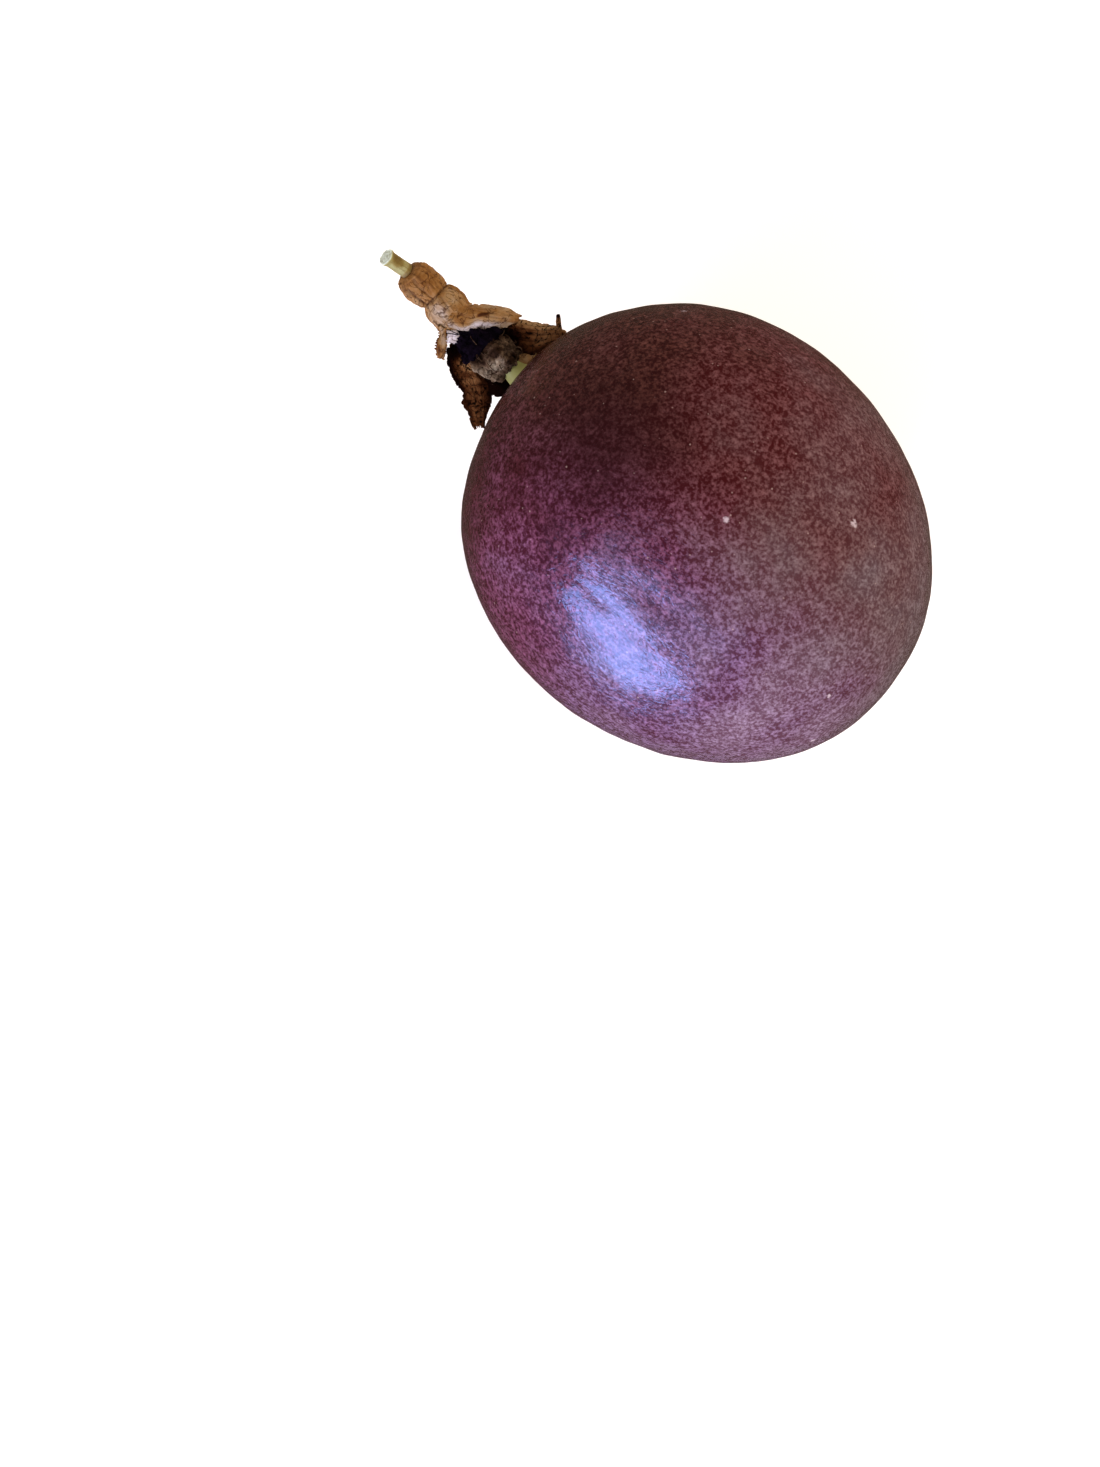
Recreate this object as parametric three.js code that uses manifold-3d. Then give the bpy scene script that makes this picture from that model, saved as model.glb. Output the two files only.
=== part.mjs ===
// A passion fruit, as picked: the leathery fruit lying on its side with a short cut stalk, the dried
// flower cup and the torn remains of its sepals and petals. Millimetres, +Z up, +X towards the
// blossom end. Places are first given from the fruit's middle; the finished group is then set down
// with the middle of its outer box on the Z axis and its flat spot at z = 0.

import * as THREE from 'three';
import { mergeVertices } from 'three/addons/utils/BufferGeometryUtils.js';
import Module from 'manifold-3d';

const wasm = await Module();
wasm.setup();

// Driving dimensions of the fruit
const fruitLength = 63.9;        // stalk end to blossom end
const fruitWidth = 57.4;
const fruitSquareness = 0.892;   // under 1 gives fuller ends than an ellipse
const fruitShoulder = 0.042;     // how much fuller the stalk end is than the blossom end
const fruitMiddleFullness = 0.044;
const fruitOffset = 0.82;        // from the reference middle to the middle of its length
const fruitTilt = 6;             // degrees that the stalk end hangs down
const carpelSwell = 0.006;       // the three carpels inside show as slightly flattened sides
const restDepth = 0.85;          // how much the flat spot takes off the underside
const fruitRings = 28;
const fruitSides = 42;

// Driving dimensions of the stalk, the flower cup and what it holds
const stalkRadius = 1.02;
const cupRadius = 2.75;
const cupNeckRadius = 2.1;
const cupWall = 0.55;
const gynophoreRadius = 1.15;
const sepalThickness = 0.5;
const petalThickness = 0.45;
const strandThickness = 0.45;
const clearance = 0.3;           // gap between neighbouring pieces

const stalkTip = point(-54.4, 1.55, 1.1);
const cupFoot = point(-51.2, 2.2, -1.2);
const cupShoulder = point(-49.2, 2.15, -2.2);
const cupNeck = point(-46.5, 1.95, -2.7);
const cupMouth = point(-41.5, 1.35, -3.2);
const flowerCentre = point(-38.0, 1.2, -3.3);
const fruitJoint = fruitPoint(0, 0);

function point(x, y, z) {
  return new THREE.Vector3(x, y, z);
}

// Half the fruit's outline, from the stalk end at angle 0 to the blossom end at angle PI
function fruitOutline(angle) {
  const along = Math.cos(angle);
  const swell = 1 + fruitShoulder * along - fruitMiddleFullness * along * along;
  const radius = (fruitWidth / 2) * Math.max(0, Math.sin(angle)) ** fruitSquareness * swell;
  const isPole = angle === 0 || angle === Math.PI;
  return new THREE.Vector2(isPole ? 0 : radius, fruitOffset - (fruitLength / 2) * along);
}

// A point on the tilted fruit's skin
function fruitPoint(angle, turn) {
  const outline = fruitOutline(angle);
  const place = point(outline.y, outline.x * Math.cos(turn), outline.x * Math.sin(turn));
  return place.applyAxisAngle(point(0, 1, 0), THREE.MathUtils.degToRad(-fruitTilt));
}

function finish(colour, roughness) {
  return new THREE.MeshStandardMaterial({ color: colour, roughness, metalness: 0 });
}

// Leaves only positions, with shared corners merged and triangles of no area dropped
function weld(geometry) {
  const bare = geometry.clone();
  for (const name of ['normal', 'uv']) bare.deleteAttribute(name);
  const welded = mergeVertices(bare, 1e-3);
  const corners = Array.from(welded.index.array);
  const kept = [];
  for (let i = 0; i < corners.length; i += 3) {
    const [a, b, c] = corners.slice(i, i + 3);
    if (a !== b && b !== c && c !== a) kept.push(a, b, c);
  }
  welded.setIndex(kept);
  return welded;
}

function toSolid(geometry) {
  const welded = weld(geometry);
  const vertProperties = new Float32Array(welded.attributes.position.array);
  const triVerts = new Uint32Array(welded.index.array);
  return new wasm.Manifold(new wasm.Mesh({ numProp: 3, vertProperties, triVerts }));
}

function toGeometry(solid) {
  const mesh = solid.getMesh();
  const geometry = new THREE.BufferGeometry();
  geometry.setAttribute('position', new THREE.BufferAttribute(mesh.vertProperties, 3));
  geometry.setIndex(new THREE.BufferAttribute(mesh.triVerts, 1));
  geometry.computeVertexNormals();
  return geometry;
}

// Lays a shape that runs from y = 0 to y = 1 along a route. Its x goes sideways and its z towards
// facing, which may change from the start of the route to its end.
function layAlong(geometry, route, facingStart, facingEnd = facingStart) {
  const position = geometry.attributes.position;
  for (let i = 0; i < position.count; i += 1) {
    const share = THREE.MathUtils.clamp(position.getY(i), 0, 1);
    const forward = route.getTangentAt(share);
    const facing = facingStart.clone().lerp(facingEnd, share);
    const side = forward.clone().cross(facing).normalize();
    const top = side.clone().cross(forward);
    const place = route.getPointAt(share);
    place.addScaledVector(side, position.getX(i));
    place.addScaledVector(top, position.getZ(i));
    position.setXYZ(i, place.x, place.y, place.z);
  }
  geometry.computeVertexNormals();
  return geometry;
}

// A turned shape: pairs of radius and share of the route's length, starting and ending on its axis
function turned(pairs, sides, route, facing = point(0, 0, 1)) {
  const outline = pairs.map(([radius, share]) => new THREE.Vector2(radius, share));
  return layAlong(new THREE.LatheGeometry(outline, sides), route, facing);
}

function between(values, share) {
  const spot = share * (values.length - 1);
  const first = Math.min(Math.floor(spot), values.length - 2);
  return THREE.MathUtils.lerp(values[first], values[first + 1], spot - first);
}

// A dried sepal or petal: a thin strip of changing width, cupped across and crumpled along
function driedLeaf({ route, widths, facing, facingEnd, cupping, crumple, thickness }) {
  const columns = 6;
  const rows = 10;
  const sheet = new THREE.BoxGeometry(1, 1, 1, columns, rows, 1);
  sheet.translate(0, 0.5, 0);
  const position = sheet.attributes.position;
  for (let i = 0; i < position.count; i += 1) {
    const across = position.getX(i);
    const share = position.getY(i);
    const hollow = cupping * 4 * across * across;
    const fold = crumple * Math.sin(2.6 * Math.PI * share + 5 * across);
    position.setX(i, across * between(widths, share));
    position.setZ(i, position.getZ(i) * thickness + hollow + fold);
  }
  return layAlong(sheet, new THREE.CatmullRomCurve3(route), facing, facingEnd);
}

function tube(routePoints, radius, sides = 8, steps = 8) {
  const route = new THREE.CatmullRomCurve3(routePoints);
  const section = new THREE.Shape();
  section.absarc(0, 0, radius, 0, 2 * Math.PI, false);
  return new THREE.ExtrudeGeometry(section, {
    extrudePath: route, steps, curveSegments: sides, bevelEnabled: false,
  });
}

function makeFruit() {
  const outline = [];
  for (let ring = 0; ring <= fruitRings; ring += 1) {
    outline.push(fruitOutline((Math.PI * ring) / fruitRings));
  }
  const skin = new THREE.LatheGeometry(outline, fruitSides);
  const position = skin.attributes.position;
  for (let i = 0; i < position.count; i += 1) {
    const turn = Math.atan2(position.getZ(i), position.getX(i));
    const swell = 1 + carpelSwell * Math.cos(3 * turn);
    position.setXYZ(i, position.getX(i) * swell, position.getY(i), position.getZ(i) * swell);
  }
  skin.rotateZ(-Math.PI / 2);
  skin.rotateY(THREE.MathUtils.degToRad(-fruitTilt));
  const whole = weld(skin);
  whole.computeBoundingBox();
  const floor = whole.boundingBox.min.z + restDepth;
  const cutter = new THREE.BoxGeometry(fruitLength, fruitLength, fruitLength);
  cutter.translate(0, 0, floor - fruitLength / 2);
  return toGeometry(toSolid(whole).subtract(toSolid(cutter)));
}

function makeStalk() {
  const foot = cupFoot.clone().add(point(-1.4 * clearance, -0.05, 0.25));
  const route = new THREE.CatmullRomCurve3([stalkTip, point(-53.0, 1.85, -0.05), foot]);
  const flare = stalkRadius * 1.07;
  const outline = [[0, 0], [flare, 0], [stalkRadius, 0.3], [stalkRadius, 0.65], [stalkRadius, 1], [0, 1]];
  return turned(outline, 14, route);
}

// The dried floral tube: two swellings with a neck between them, hollow and open towards the fruit
function makeFlowerCup() {
  const route = new THREE.CatmullRomCurve3([cupFoot, cupShoulder, cupNeck, cupMouth]);
  const upper = cupRadius * 0.94;
  const outside = [
    [0, 0], [1.3, 0], [2.2, 0.07], [upper, 0.2], [upper, 0.3], [cupNeckRadius + 0.1, 0.43],
    [cupNeckRadius, 0.48], [cupNeckRadius + 0.2, 0.55], [cupRadius, 0.7], [cupRadius, 0.82],
    [cupRadius - 0.25, 1],
  ];
  const inside = [
    [cupRadius - 0.25 - cupWall, 1], [cupRadius - cupWall, 0.82], [cupRadius - cupWall, 0.7],
    [cupNeckRadius - cupWall, 0.5], [upper - cupWall, 0.28], [1.6, 0.14], [0, 0.11],
  ];
  return turned([...outside, ...inside], 20, route);
}

// The stem inside the flower that carries the fruit
function makeGynophore() {
  const end = fruitJoint.clone().add(point(-clearance - 0.1, 1.1, 0));
  const route = new THREE.CatmullRomCurve3([point(-44.6, 1.6, -2.9), flowerCentre, end]);
  const thick = gynophoreRadius;
  return turned([[0, 0], [thick, 0], [thick, 0.75], [thick * 1.15, 1], [0, 1]], 12, route);
}

// A ring-shaped ruffle round the gynophore: the corona, and the crumpled stamens behind it
function makeRuffle(start, end, innerRadius, outerRadii) {
  const outside = outerRadii.map((radius, i) => [radius, i / (outerRadii.length - 1)]);
  const ring = [[innerRadius, 0], ...outside, [innerRadius, 1], [innerRadius, 0]];
  return turned(ring, 16, new THREE.LineCurve3(start, end));
}

function makeAwnedSepal() {
  const blade = driedLeaf({
    route: [point(-34.6, 4.8, -2.4), point(-32.5, 6.9, -1.8), point(-30.3, 9.2, -1.0)],
    widths: [5.6, 4.3, 2.6, 1.1], facing: point(-0.3, 0.2, 1), facingEnd: point(-0.1, 0.1, 1),
    cupping: -0.35, crumple: 0.12, thickness: sepalThickness,
  });
  const awn = tube([point(-30.8, 8.9, -1.1), point(-31.4, 9.6, -0.4), point(-32.3, 10.4, 0.3)], 0.33);
  return toGeometry(toSolid(blade).add(toSolid(awn)));
}

const sepals = {
  sepal_upper: {
    route: [point(-41.5, 4.75, -1.5), point(-38.9, 5.6, -1.0), point(-35.8, 6.6, -0.8)],
    widths: [1.3, 2.8, 2.9, 1.5], facing: point(-0.2, 0.2, 1), facingEnd: point(0, 0.3, 1),
    cupping: -0.5, crumple: 0.12,
  },
  sepal_under: {
    route: [point(-41.4, 1.4, -6.7), point(-38.4, 1.6, -8.1), point(-34.8, 1.7, -8.6)],
    widths: [3.4, 6.8, 7.4, 5.0], facing: point(0, 0, 1), cupping: 1.3, crumple: 0.18,
  },
  sepal_lower: {
    route: [point(-39.5, -2.6, -6.0), point(-36.4, -3.6, -5.4), point(-33.7, -5.1, -6.2),
      point(-31.5, -7.9, -8.4)],
    widths: [2.0, 4.0, 4.4, 3.2, 1.4], facing: point(0.1, -0.2, 1), facingEnd: point(-0.3, -0.1, 1),
    cupping: -0.35, crumple: 0.2,
  },
  sepal_strip: {
    route: [point(-43.1, -1.7, -1.9), point(-41.7, -2.8, -2.4), point(-40.4, -3.9, -3.2)],
    widths: [1.3, 1.1, 1.5, 1.1], facing: point(0, -0.5, 1), cupping: -0.15, crumple: 0.06,
  },
};

const petal = {
  route: [point(-34.0, -1.0, -5.0), point(-32.7, -1.8, -4.6), point(-31.9, -2.8, -4.8)],
  widths: [1.4, 2.4, 2.2, 1.0], facing: point(-0.1, 0, 1), cupping: -0.3, crumple: 0.08,
  thickness: petalThickness,
};

const strandRoute = [point(-32.4, 3.0, -4.1), point(-32.0, 3.35, -3.9), point(-31.5, 3.8, -3.7)];

const skinFinish = finish('#4b1d2a', 0.5);
const strawFinish = finish('#b08350', 0.7);
const brownFinish = finish('#5e3c22', 0.75);
const darkFinish = finish('#241a26', 0.6);
const greenFinish = finish('#a9a873', 0.6);
const greyFinish = finish('#8a7c6b', 0.85);

const pieces = new THREE.Group();

function addPiece(name, geometry, material) {
  const mesh = new THREE.Mesh(geometry, material);
  mesh.name = name;
  pieces.add(mesh);
}

addPiece('fruit', makeFruit(), skinFinish);
addPiece('gynophore', makeGynophore(), greenFinish);
addPiece('stalk', makeStalk(), greenFinish);
addPiece('flower_cup', makeFlowerCup(), strawFinish);
for (const [name, shape] of Object.entries(sepals)) {
  const leaf = driedLeaf({ thickness: sepalThickness, ...shape });
  addPiece(name, leaf, name === 'sepal_upper' || name === 'sepal_strip' ? strawFinish : brownFinish);
}
addPiece('sepal_awned', makeAwnedSepal(), brownFinish);
addPiece('petal_lobe', driedLeaf(petal), brownFinish);
addPiece('corona', makeRuffle(
  flowerCentre.clone().add(point(-2.6, 0.1, 0)), flowerCentre.clone().add(point(1.6, 0, 0)),
  gynophoreRadius + clearance + 0.15, [1.9, 2.5, 3.1, 3.6],
), darkFinish);
addPiece('stamen_tuft', makeRuffle(
  flowerCentre.clone().add(point(2.0, 0, 0)), flowerCentre.clone().add(point(5.2, 0, 0)),
  gynophoreRadius + clearance + 0.2, [2.1, 2.5, 2.5, 1.8],
), greyFinish);
addPiece('stamen_strand', tube(strandRoute, strandThickness, 8, 6), strawFinish);

const outerBox = new THREE.Box3().setFromObject(pieces);
const middle = outerBox.getCenter(new THREE.Vector3());
pieces.position.set(-middle.x, -middle.y, -outerBox.min.z);

const passionFruit = new THREE.Group();
passionFruit.add(pieces);

export default passionFruit;
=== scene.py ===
import math
import random

import bpy
import numpy as np
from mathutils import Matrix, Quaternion, Vector


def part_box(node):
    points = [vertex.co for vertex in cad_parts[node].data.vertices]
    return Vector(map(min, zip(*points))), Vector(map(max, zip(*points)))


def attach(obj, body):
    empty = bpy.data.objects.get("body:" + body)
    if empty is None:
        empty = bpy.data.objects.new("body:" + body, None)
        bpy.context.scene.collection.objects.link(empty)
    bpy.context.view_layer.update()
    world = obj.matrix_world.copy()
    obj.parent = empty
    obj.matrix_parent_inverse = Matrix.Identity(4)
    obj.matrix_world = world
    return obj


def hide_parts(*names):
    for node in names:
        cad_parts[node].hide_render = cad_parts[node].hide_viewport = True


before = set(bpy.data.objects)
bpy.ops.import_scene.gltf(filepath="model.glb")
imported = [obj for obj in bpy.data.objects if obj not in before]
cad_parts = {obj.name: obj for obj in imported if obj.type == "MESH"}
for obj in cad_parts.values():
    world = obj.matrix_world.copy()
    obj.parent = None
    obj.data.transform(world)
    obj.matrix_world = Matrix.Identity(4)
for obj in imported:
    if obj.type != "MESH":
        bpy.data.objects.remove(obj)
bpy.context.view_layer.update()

mm = 0.001
fruitLow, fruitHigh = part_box("fruit")
fruitAxis = {"behindBoxMiddle": 0.8, "besideBoxMiddle": 0.17, "underTop": 28.69}  # millimetres
fruitMiddle = Vector((
    (fruitLow.x + fruitHigh.x) / 2 - fruitAxis["behindBoxMiddle"] * mm,
    (fruitLow.y + fruitHigh.y) / 2 + fruitAxis["besideBoxMiddle"] * mm,
    fruitHigh.z - fruitAxis["underTop"] * mm,
))


def at(x, y, z):  # millimetres from the fruit's middle to a place in the frame
    return fruitMiddle + Vector((x, y, z)) * mm


def deselectAll():
    if bpy.context.object and bpy.context.object.mode != "OBJECT":
        bpy.ops.object.mode_set(mode="OBJECT")
    bpy.ops.object.select_all(action="DESELECT")


def makeActive(piece):
    deselectAll()
    piece.select_set(True)
    bpy.context.view_layer.objects.active = piece


def addModifier(piece, kind, **settings):  # adds a modifier and applies it at once
    makeActive(piece)
    modifier = piece.modifiers.new(kind.title(), kind)
    for key, value in settings.items():
        setattr(modifier, key, value)
    bpy.ops.object.modifier_apply(modifier=modifier.name)


def smoothFaces(piece):
    makeActive(piece)
    bpy.ops.object.shade_smooth()


def linear(hexColour):  # sRGB hex to the linear colour that nodes take
    channels = [int(hexColour[i:i + 2], 16) / 255 for i in (1, 3, 5)]
    return [c / 12.92 if c <= 0.04045 else ((c + 0.055) / 1.055) ** 2.4 for c in channels] + [1.0]


def addNode(tree, kind, inputs=None, stops=None, **settings):
    # an input is either a value or another node's socket; stops are a colour ramp's places and hex colours
    node = tree.nodes.new("ShaderNode" + kind)
    for key, value in settings.items():
        setattr(node, key, value)
    for socket, value in (inputs or {}).items():
        if isinstance(value, bpy.types.NodeSocket):
            tree.links.new(value, node.inputs[socket])
        else:
            node.inputs[socket].default_value = value
    if stops:
        elements = node.color_ramp.elements
        while len(elements) < len(stops):
            elements.new(0.5)
        for element, (position, colour) in zip(elements, stops):
            element.position = position
            element.color = linear(colour)
    return node


def newMaterial(name, **shaderInputs):
    material = bpy.data.materials.new(name)
    material.use_nodes = True
    tree = material.node_tree
    shader = tree.nodes["Principled BSDF"]
    for socket, value in shaderInputs.items():
        shader.inputs[socket.replace("_", " ")].default_value = value
    return material, tree, shader


def noise(tree, place, size, detail, roughness=0.5, distortion=0.0):  # size in the place's own unit
    return addNode(tree, "TexNoise", {
        "Vector": place, "Scale": 1 / size, "Detail": detail, "Roughness": roughness,
        "Distortion": distortion,
    }).outputs["Fac"]


def maths(tree, operation, *values, **settings):
    return addNode(tree, "Math", dict(enumerate(values)), operation=operation, **settings).outputs["Value"]


def mapped(tree, value, fromMin, fromMax, toMin, toMax, kind="LINEAR"):
    return addNode(tree, "MapRange", {
        "Value": value, "From Min": fromMin, "From Max": fromMax, "To Min": toMin, "To Max": toMax,
    }, interpolation_type=kind).outputs["Result"]


def addRelief(tree, relief, height, shader):  # height in millimetres
    bump = addNode(tree, "Bump", {"Height": relief, "Strength": 0.8, "Distance": height * mm})
    tree.links.new(bump.outputs["Normal"], shader.inputs["Normal"])


def mixColour(tree, share, first, second):
    return addNode(tree, "Mix", {0: share, 6: first, 7: second}, data_type="RGBA").outputs[2]


def placeInMillimetres(tree):  # where a point lies, in millimetres from the fruit's middle
    spot = addNode(tree, "TexCoord")
    return addNode(tree, "Mapping", {
        "Vector": spot.outputs["Object"], "Location": tuple(-fruitMiddle / mm), "Scale": (1000, 1000, 1000),
    }).outputs["Vector"]


def placePiece(piece, material, node):
    piece.data.materials.clear()
    piece.data.materials.append(material)
    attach(piece, "root")
    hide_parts(node)


# The camera looks straight down. The light is soft, from a low window in front and a pale wall behind.
viewSettings = {
    "aimX": 2.35, "aimY": -32.5,  # where the middle of the view falls, from the fruit's middle
    "turn": 40,                   # degrees, so that the stalk points up to the left
    "distance": 400,              # from the fruit's middle height
    "fieldHeight": 193.2,         # how much the view takes in, top to bottom
    "sensor": 36,
    "nearest": 0.01,              # metres
}


def addCamera(settings):
    place = at(settings["aimX"], settings["aimY"], settings["distance"])
    turned = (0, 0, math.radians(settings["turn"]))
    bpy.ops.object.camera_add(location=place, rotation=turned)
    camera = bpy.context.object
    camera.name = "viewFromAbove"
    camera.data.sensor_width = settings["sensor"]
    camera.data.lens = settings["sensor"] * settings["distance"] / settings["fieldHeight"]
    camera.data.clip_start = settings["nearest"]
    bpy.context.scene.camera = camera


lightSettings = {
    # angles in degrees, sizes and distances in millimetres; the window's light and its gleam on the skin
    # are separate lights, so that each can be set alone
    "window": {
        "azimuth": -84, "height": 22, "distance": 620, "width": 520, "tall": 330, "turn": 0,
        "colour": "#e6e6ff", "watts": 5.2, "shows": "light",
    },
    "windowGleam": {
        "azimuth": -87, "height": 14, "distance": 620, "width": 570, "tall": 330, "turn": -42,
        "colour": "#84a8ff", "watts": 11.8, "shows": "gleam",
    },
    "paneGleam": {
        "azimuth": -80, "height": 46, "distance": 620, "width": 800, "tall": 90, "turn": -16,
        "colour": "#8fb8ff", "watts": 0.9, "shows": "gleam",
    },
    "wall": {
        "azimuth": 55, "height": 38, "distance": 900, "width": 1200, "tall": 700, "turn": 0,
        "colour": "#fff2e6", "watts": 8.0, "shows": "light",
    },
    # light comes evenly from the pale room, but gloss shows only its dim brown furniture
    "room": {"light": "#fff5ea", "strength": 0.52, "furniture": "#a58c78", "dimness": 0.26},
}


def addSoftLight(name, azimuth, height, distance, width, tall, turn, colour, watts, shows):
    flat, up = math.radians(azimuth), math.radians(height)
    away = Vector((math.cos(flat) * math.cos(up), math.sin(flat) * math.cos(up), math.sin(up)))
    bpy.ops.object.light_add(type="AREA", location=fruitMiddle + away * distance * mm)
    light = bpy.context.object
    light.name = name
    light.visible_glossy = shows == "gleam"
    light.visible_diffuse = shows == "light"
    turned = Quaternion((0, 0, 1), math.radians(turn))
    light.rotation_euler = (away.to_track_quat("Z", "Y") @ turned).to_euler()
    light.data.shape = "RECTANGLE"
    light.data.size = width * mm
    light.data.size_y = tall * mm
    light.data.color = linear(colour)[:3]
    light.data.energy = watts


def addRoomLight(light, strength, furniture, dimness):
    world = bpy.data.worlds.new("room")
    world.use_nodes = True
    tree = world.node_tree
    isGloss = addNode(tree, "LightPath").outputs["Is Glossy Ray"]
    colour = mixColour(tree, isGloss, linear(light), linear(furniture))
    power = addNode(tree, "MapRange", {"Value": isGloss, "To Min": strength, "To Max": dimness})
    background = tree.nodes["Background"]
    tree.links.new(colour, background.inputs["Color"])
    tree.links.new(power.outputs["Result"], background.inputs["Strength"])
    bpy.context.scene.world = world


floorLook = {"width": 4, "board": "#efecea", "roughness": 0.8, "glow": "#fffaf4", "glowAmount": 0.42}


def addFloor(look):
    bpy.ops.mesh.primitive_plane_add(size=look["width"], location=(0, 0, 0))
    floor = bpy.context.object
    floor.name = "paleFloor"
    # white painted board, matt all over; a faint glow of its own keeps the shadows on it light
    material, *_ = newMaterial(
        "Matt white board", Roughness=look["roughness"], Specular_IOR_Level=0.0,
        Base_Color=linear(look["board"]), Emission_Color=linear(look["glow"]),
        Emission_Strength=look["glowAmount"],
    )
    floor.data.materials.append(material)
    floor.visible_glossy = False  # so that the white floor doesn't grey the dark skin
    floor.visible_shadow = False


bpy.context.scene.view_settings.view_transform = "Standard"
addCamera(viewSettings)
addSoftLight("windowLight", **lightSettings["window"])
addSoftLight("windowGleam", **lightSettings["windowGleam"])
addSoftLight("paneGleam", **lightSettings["paneGleam"])
addSoftLight("wallLight", **lightSettings["wall"])
addRoomLight(**lightSettings["room"])
addFloor(floorLook)
print("camera, lights and floor are set")


fruitShape = {
    "cuts": 14,             # faces along each edge of the starting cube, less one
    "start": 1.1,           # the size of the rounded cube, as a share of the fruit's
    "smoothings": 2,
    "levels": 3,
    "lift": 0.12,           # allows for what the smoothing takes off
    # the skin's unevenness: length, width and height of each kind of cloud, and its depth of detail
    "clouds": [
        ("longSwells", 34, 13, 0.5, 1),
        ("hollows", 5.5, 5.5, 0.24, 1),
        ("pebbles", 2.2, 2.2, 0.055, 2),
    ],
    # place and reach of each dent: x, y, z, reach along, reach across, depth
    "dents": [
        (-3.0, -15.5, 23.0, 3.2, 1.2, 0.22),
        (4.0, -11.0, 25.5, 9.0, 1.6, 0.12),
        (-31.5, 1.3, -3.3, 3.0, 3.2, 0.35),     # where the stem joins the fruit
        (32.0, 0.0, -1.0, 2.0, 1.6, 0.35),      # the blossom end
    ],
}


def displaceBy(piece, texture, height, scale, offset=(0, 0, 0)):
    bpy.ops.object.empty_add(location=offset)  # its scale stretches the texture
    stretcher = bpy.context.object
    stretcher.scale = scale
    bpy.context.view_layer.update()
    addModifier(
        piece, "DISPLACE", texture=texture, strength=height * mm, mid_level=0.5,
        texture_coords="OBJECT", texture_coords_object=stretcher,
    )
    bpy.data.objects.remove(stretcher)


def cloudTexture(name, depth):
    texture = bpy.data.textures.new(name, "CLOUDS")
    texture.noise_scale = 1.0
    texture.noise_depth = depth
    return texture


def readPlaces(piece):
    places = np.empty(len(piece.data.vertices) * 3)
    piece.data.vertices.foreach_get("co", places)
    return places.reshape(-1, 3)


def readNormals(piece):
    normals = np.empty(len(piece.data.vertices) * 3)
    piece.data.vertices.foreach_get("normal", normals)
    return normals.reshape(-1, 3)


def writePlaces(piece, places):
    piece.data.vertices.foreach_set("co", places.ravel())
    piece.data.update()


def pressDents(piece, dents):
    places = readPlaces(piece)
    depth = np.zeros(len(places))
    for x, y, z, along, across, deep in dents:
        offset = (places - np.array(at(x, y, z))) / mm
        aside = np.hypot(offset[:, 1], offset[:, 2])
        depth += deep * np.exp(-(offset[:, 0] / along) ** 2 - (aside / across) ** 2)
    writePlaces(piece, places - readNormals(piece) * depth[:, None] * mm)


def settleOnFloor(piece):
    places = readPlaces(piece)
    places[:, 2] = np.maximum(places[:, 2], 0.0)
    writePlaces(piece, places)


def modelFruit(shape):
    bpy.ops.mesh.primitive_cube_add(size=1, location=fruitMiddle)
    fruit = bpy.context.object
    fruit.name = "passionFruit"
    bpy.ops.object.mode_set(mode="EDIT")
    bpy.ops.mesh.select_all(action="SELECT")
    bpy.ops.mesh.subdivide(number_cuts=shape["cuts"])
    bpy.ops.transform.tosphere(value=1.0)
    bpy.ops.transform.resize(value=(fruitHigh - fruitLow) * shape["start"])
    bpy.ops.object.mode_set(mode="OBJECT")
    bpy.ops.object.transform_apply(location=True, rotation=True, scale=True)
    addModifier(fruit, "SHRINKWRAP", target=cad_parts["fruit"], offset=shape["lift"] * mm)
    addModifier(fruit, "SMOOTH", factor=0.5, iterations=shape["smoothings"])
    addModifier(fruit, "SUBSURF", levels=shape["levels"], render_levels=shape["levels"])
    for name, length, width, height, depth in shape["clouds"]:
        displaceBy(fruit, cloudTexture(name, depth), height, (length * mm, width * mm, width * mm))
    pressDents(fruit, shape["dents"])
    settleOnFloor(fruit)
    smoothFaces(fruit)
    return fruit


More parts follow.
